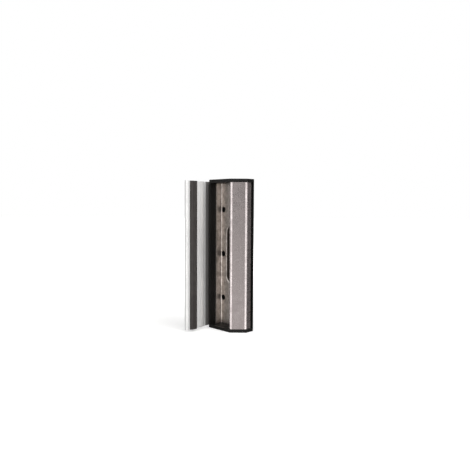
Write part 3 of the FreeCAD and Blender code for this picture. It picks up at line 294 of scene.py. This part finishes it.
def moulded(name, colour, rough=(0.42, 0.6), grain=1400.0, depth=0.04 * MM):
    """Moulded plastic: fine spark-eroded texture and slight flow marks."""
    f = Finish(name, metallic=0.0, specular=0.45)
    texture = f.noise(grain, detail=2.0, roughness=0.5)
    flow = f.noise(45.0, detail=3.0, roughness=0.5, distortion=1.5)
    shade = f.mix(f.spread(flow, 0.35, 0.65), scaled(colour, 0.88), scaled(colour, 1.12))
    return f.finish(shade, f.spread(flow, 0.3, 0.7, *rough), f.bump(texture, depth, f.rounded(SOFT_EDGE)))


def machined(name, pale, dark, rough, lines=(300.0, 300.0, 9000.0), depth=0.01 * MM):
    """Turned, ground or plated metal: fine tool lines and faint tarnish."""
    f = Finish(name, metallic=1.0)
    tool = f.noise(1.0, detail=2.0, vector=f.stretched(*lines))
    tarnish = f.noise(260.0, detail=4.0, roughness=0.6)
    colour = f.mix(f.spread(tarnish, 0.38, 0.64), pale, dark)
    roughness = f.spread(f.math("ADD", f.math("MULTIPLY", tool, 0.5), f.math("MULTIPLY", tarnish, 0.5)),
                         0.35, 0.65, *rough)
    return f.finish(colour, roughness, f.bump(tool, depth, f.rounded(METAL_EDGE)))


def winding_finish():
    """Enamelled copper wire, in darker and paler patches."""
    f = Finish("enamelled copper", metallic=1.0, coat=0.6, coat_roughness=0.12)
    patches = f.noise(500.0, detail=3.0)
    colour = f.mix(f.spread(patches, 0.35, 0.65), (0.50, 0.19, 0.07), (0.70, 0.32, 0.13))
    return f.finish(colour, f.spread(patches, 0.3, 0.7, 0.2, 0.34), f.bump(patches, 0.005 * MM))


FIXING_PITCH = 51.0 * MM
FIXING_HOLES = [(-17.0 * MM, -7.2 * MM, row * FIXING_PITCH) for row in (-1, 0, 1)]
STAIN_REACH, STAIN_STRENGTH = 4.6 * MM, 0.8
TURNED = (4000.0, 4000.0, 4000.0)

SLOT_FINISH = {
    "black_coat": coat("black powder coat", (0.006, 0.0055, 0.005), (0.055, 0.05, 0.045), (0.42, 0.6),
                       1500.0, 0.05 * MM, 0.3 * MM),
    "black_cap": coat("black cast cap", (0.006, 0.0056, 0.0052), (0.07, 0.064, 0.058), (0.38, 0.54),
                      1100.0, 0.06 * MM, 0.4 * MM),
    "stainless_plate": steel("mottled stainless plate", (0.80, 0.735, 0.69), (0.44, 0.395, 0.36),
                             170.0, 1500.0, (0.30, 0.52), (900.0, 900.0, 60.0), scratch=0.5, speckle=0.24,
                             stains=[(hole, STAIN_REACH, STAIN_STRENGTH) for hole in FIXING_HOLES],
                             # painted shade in the slot and recess behind the plate's face
                             recess_shade_from=-6.8 * MM),
    "stainless_jaw": steel("brushed stainless keeper", (0.63, 0.575, 0.57), (0.45, 0.40, 0.395),
                           120.0, 1300.0, (0.2, 0.36), (1500.0, 1500.0, 35.0),
                           scratch=0.15, speckle=0.08),
    "anodised_aluminium": anodised("satin anodised aluminium", (0.92, 0.92, 0.91), (0.80, 0.80, 0.795),
                                   (0.34, 0.48)),
    "strip_rubber": rubber("strip rubber", (0.040, 0.035, 0.033), (0.082, 0.074, 0.070)),
    "buffer_rubber": rubber("buffer rubber", (0.012, 0.012, 0.012), (0.035, 0.034, 0.033)),
    "black_screw": coat("black oxide screw", (0.018, 0.017, 0.018), (0.16, 0.155, 0.15), (0.3, 0.42),
                        2600.0, 0.02 * MM, 0.2 * MM),
    "stainless_screw": machined("stainless screw", (0.64, 0.62, 0.60), (0.46, 0.44, 0.42), (0.22, 0.36),
                                TURNED),
    "ground_steel": machined("ground steel", (0.58, 0.57, 0.56), (0.42, 0.41, 0.40), (0.16, 0.28)),
    "hard_steel": machined("hardened pin", (0.50, 0.50, 0.52), (0.36, 0.36, 0.38), (0.12, 0.22)),
    "spring_wire": machined("spring wire", (0.62, 0.61, 0.58), (0.44, 0.42, 0.40), (0.2, 0.34), TURNED),
    "zinc_steel": machined("zinc plate", (0.66, 0.67, 0.66), (0.48, 0.50, 0.52), (0.3, 0.46),
                           (700.0, 700.0, 700.0), 0.02 * MM),
    "bobbin_plastic": moulded("natural nylon", (0.60, 0.56, 0.45)),
    "bronze": machined("sintered bronze", (0.50, 0.34, 0.17), (0.33, 0.21, 0.10), (0.4, 0.55),
                       TURNED, 0.03 * MM),
    "brass_sleeve": machined("turned brass", (0.76, 0.58, 0.27), (0.55, 0.40, 0.17), (0.2, 0.34)),
    "cover_plastic": moulded("cover plastic", (0.014, 0.014, 0.014)),
    "terminal_plastic": moulded("terminal plastic", (0.05, 0.19, 0.10)),
    "lead_red": moulded("red insulation", (0.42, 0.018, 0.012), (0.34, 0.48), 2600.0, 0.01 * MM),
    "lead_black": moulded("black insulation", (0.012, 0.012, 0.012), (0.34, 0.48), 2600.0, 0.01 * MM),
    "winding": winding_finish(),
}

for part in frame["record"]["subparts"]:
    mesh = NODES[part["node"]].data
    mesh.materials.clear()
    mesh.materials.append(SLOT_FINISH[part["material_slot"]])

# ---------------------------------------------------------------- pieces


def link_mesh(name, bm, finish, body):
    """A bmesh as an object that rides on a body and takes its finish from a slot of the record."""
    mesh = bpy.data.meshes.new(name)
    bm.normal_update()
    bm.to_mesh(mesh)
    bm.free()
    piece = bpy.data.objects.new(name, mesh)
    bpy.context.scene.collection.objects.link(piece)
    mesh.materials.append(finish)
    for polygon in mesh.polygons:
        polygon.use_smooth = True
    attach(piece, body)
    return piece


WIRE = 0.38 * MM
SPOKES = 56  # points round each ring of the winding
STEPS = 8  # rings to each turn of wire


def wound_coil():
    """The winding as turns of wire lying side by side on its bobbin, in place of the CAD sleeve."""
    low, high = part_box("solenoid_coil")
    centre = (low + high) / 2
    outer = (high.x - low.x) / 2
    turns = int((high.z - low.z) / WIRE)
    pitch = (high.z - low.z) / turns
    profile = []
    for step in range(turns * STEPS):
        share = (step % STEPS) / STEPS
        bulge = math.sqrt(1.0 - (2.0 * share - 1.0) ** 2)
        profile.append((outer - 0.5 * pitch * (1.0 - bulge), low.z + step / STEPS * pitch))
    profile.append((outer - 0.5 * pitch, high.z))
    bm = bmesh.new()
    rings = []
    for radius, height in profile:
        ring = []
        for spoke in range(SPOKES):
            angle = 2.0 * math.pi * spoke / SPOKES
            x = centre.x + radius * math.cos(angle)
            y = centre.y + radius * math.sin(angle)
            z = height
            if low.z < height < high.z:
                z = min(max(height + pitch * (spoke / SPOKES - 0.5), low.z), high.z)
            ring.append(bm.verts.new((x, y, z)))
        rings.append(ring)
    for lower, upper in zip(rings, rings[1:]):
        for spoke in range(SPOKES):
            after = (spoke + 1) % SPOKES
            bm.faces.new((lower[spoke], lower[after], upper[after], upper[spoke]))
    for ring, flip in ((rings[0], True), (rings[-1], False)):
        hub = bm.verts.new((centre.x, centre.y, ring[0].co.z))
        for spoke in range(SPOKES):
            after = (spoke + 1) % SPOKES
            face = (hub, ring[after], ring[spoke]) if flip else (hub, ring[spoke], ring[after])
            bm.faces.new(face)
    piece = link_mesh("wound_coil", bm, SLOT_FINISH["winding"], "root")
    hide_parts("solenoid_coil")


wound_coil()

# ---------------------------------------------------------------- stage, light and camera
FLOOR_RADIUS = 6.0
FLOOR_SEGMENTS = 96
FLOOR_SHADED, FLOOR_WHITE = 0.084, 0.56  # distance from the object where the glow starts and stops rising
FLOOR_GLOW, FLOOR_RISE = 0.42, 0.7


def pale_floor():
    """A pale disc under the object: shaded near it, and evenly white further out, like a studio sweep."""
    bm = bmesh.new()
    bmesh.ops.create_circle(bm, cap_ends=True, segments=FLOOR_SEGMENTS, radius=FLOOR_RADIUS)
    bmesh.ops.translate(bm, verts=bm.verts, vec=(0.0, 0.0, cad_box[0].z))
    mesh = bpy.data.meshes.new("pale_floor")
    bm.to_mesh(mesh)
    bm.free()
    floor = bpy.data.objects.new("pale_floor", mesh)
    bpy.context.scene.collection.objects.link(floor)
    f = Finish("pale floor", metallic=0.0, specular=0.1)
    haze = f.noise(3.0, detail=2.0)
    colour = f.mix(haze, (0.70, 0.70, 0.695), (0.73, 0.73, 0.725))
    sweep = f.spread(f.distance((0.0, 0.0, cad_box[0].z)), FLOOR_SHADED, FLOOR_WHITE)
    f.glow(f.math("ADD", FLOOR_GLOW, f.math("MULTIPLY", sweep, FLOOR_RISE)))
    mesh.materials.append(f.finish(colour, 0.9, f.bump(haze, 0.1 * MM)))
    floor.visible_glossy = False
    floor.visible_diffuse = False


ROOM_DIM = 0.12  # radiance of the room away from the camera's side
ROOM_HIGH, ROOM_LOW = 0.17, 0.80  # radiance on the camera's side, above the horizon and well below it


def soft_world():
    """White to the camera. The object sees a dim room, brighter on the camera's side and low down."""
    world = bpy.data.worlds.new("studio")
    bpy.context.scene.world = world
    world.use_nodes = True
    n = Nodes(world.node_tree)
    direction = n.add("ShaderNodeTexCoord").outputs["Generated"]
    facing = n.measure("DOT_PRODUCT", direction, (math.sqrt(0.5), -math.sqrt(0.5), 0.0))
    upward = n.add("ShaderNodeSeparateXYZ")
    n.link(direction, upward.inputs["Vector"])
    lobe = n.spread(facing, 0.15, 0.85)
    bright = n.spread(upward.outputs["Z"], 0.22, -0.42, ROOM_HIGH, ROOM_LOW)
    extra = n.math("MULTIPLY", lobe, n.math("SUBTRACT", bright, ROOM_DIM))
    shown = n.add("ShaderNodeBackground")
    shown.inputs["Color"].default_value = (1.0, 1.0, 1.0, 1.0)
    lighting = n.add("ShaderNodeBackground")
    lighting.inputs["Color"].default_value = (1.0, 0.97, 0.955, 1.0)
    n.link(n.math("ADD", extra, ROOM_DIM), lighting.inputs["Strength"])
    chooser = n.add("ShaderNodeMixShader")
    n.link(n.add("ShaderNodeLightPath").outputs["Is Camera Ray"], chooser.inputs["Fac"])
    n.link(lighting.outputs["Background"], chooser.inputs[1])
    n.link(shown.outputs["Background"], chooser.inputs[2])
    n.link(chooser.outputs["Shader"], n.add("ShaderNodeOutputWorld").inputs["Surface"])


def softbox(name, azimuth, elevation, distance, width, height, radiance):
    """A soft light that faces the object. Azimuth 0 is in front, on the gate's side, and 90 is at +X."""
    data = bpy.data.lights.new(name, "AREA")
    data.shape = "RECTANGLE"
    data.size = width
    data.size_y = height
    data.energy = radiance * math.pi * width * height
    light = bpy.data.objects.new(name, data)
    bpy.context.scene.collection.objects.link(light)
    a, e = math.radians(azimuth), math.radians(elevation)
    back = Vector((math.sin(a) * math.cos(e), -math.cos(a) * math.cos(e), math.sin(e)))
    light.location = back * distance
    light.rotation_mode = "QUATERNION"
    light.rotation_quaternion = back.to_track_quat("Z", "Y")
    light.visible_camera = False


pale_floor()
soft_world()
softbox("left_softbox", azimuth=0.0, elevation=10.0, distance=1.0, width=1.42, height=1.5, radiance=1.5)
softbox("right_softbox", azimuth=94.0, elevation=8.0, distance=0.95, width=0.72, height=1.7, radiance=1.45)
softbox("high_right_softbox", azimuth=96.0, elevation=56.0, distance=1.1, width=1.0, height=0.8, radiance=2.5)
softbox("top_softbox", azimuth=30.0, elevation=80.0, distance=1.1, width=0.9, height=0.9, radiance=1.6)
softbox("back_softbox", azimuth=215.0, elevation=30.0, distance=1.2, width=0.9, height=0.9, radiance=1.3)

CAMERA_PLACE = (0.39311, -0.39895, 0.0532)
CAMERA_TURN = math.radians(45.0)
CAMERA_PITCH = math.radians(3.17724)  # downwards
CAMERA_ROLL = math.radians(-0.3)
SENSOR, LENS = 36.0, 37.53191  # millimetres


def photo_camera():
    """The photo's view: from the right front, level with the upper half of the object."""
    data = bpy.data.cameras.new("camera")
    data.sensor_width = SENSOR
    data.lens = LENS
    data.clip_start, data.clip_end = 0.02, 50.0
    camera = bpy.data.objects.new("camera", data)
    bpy.context.scene.collection.objects.link(camera)
    camera.location = CAMERA_PLACE
    camera.rotation_euler = (math.pi / 2 - CAMERA_PITCH, CAMERA_ROLL, CAMERA_TURN)
    bpy.context.scene.camera = camera


photo_camera()
view = bpy.context.scene.view_settings
view.view_transform = "Standard"
view.look = "None"
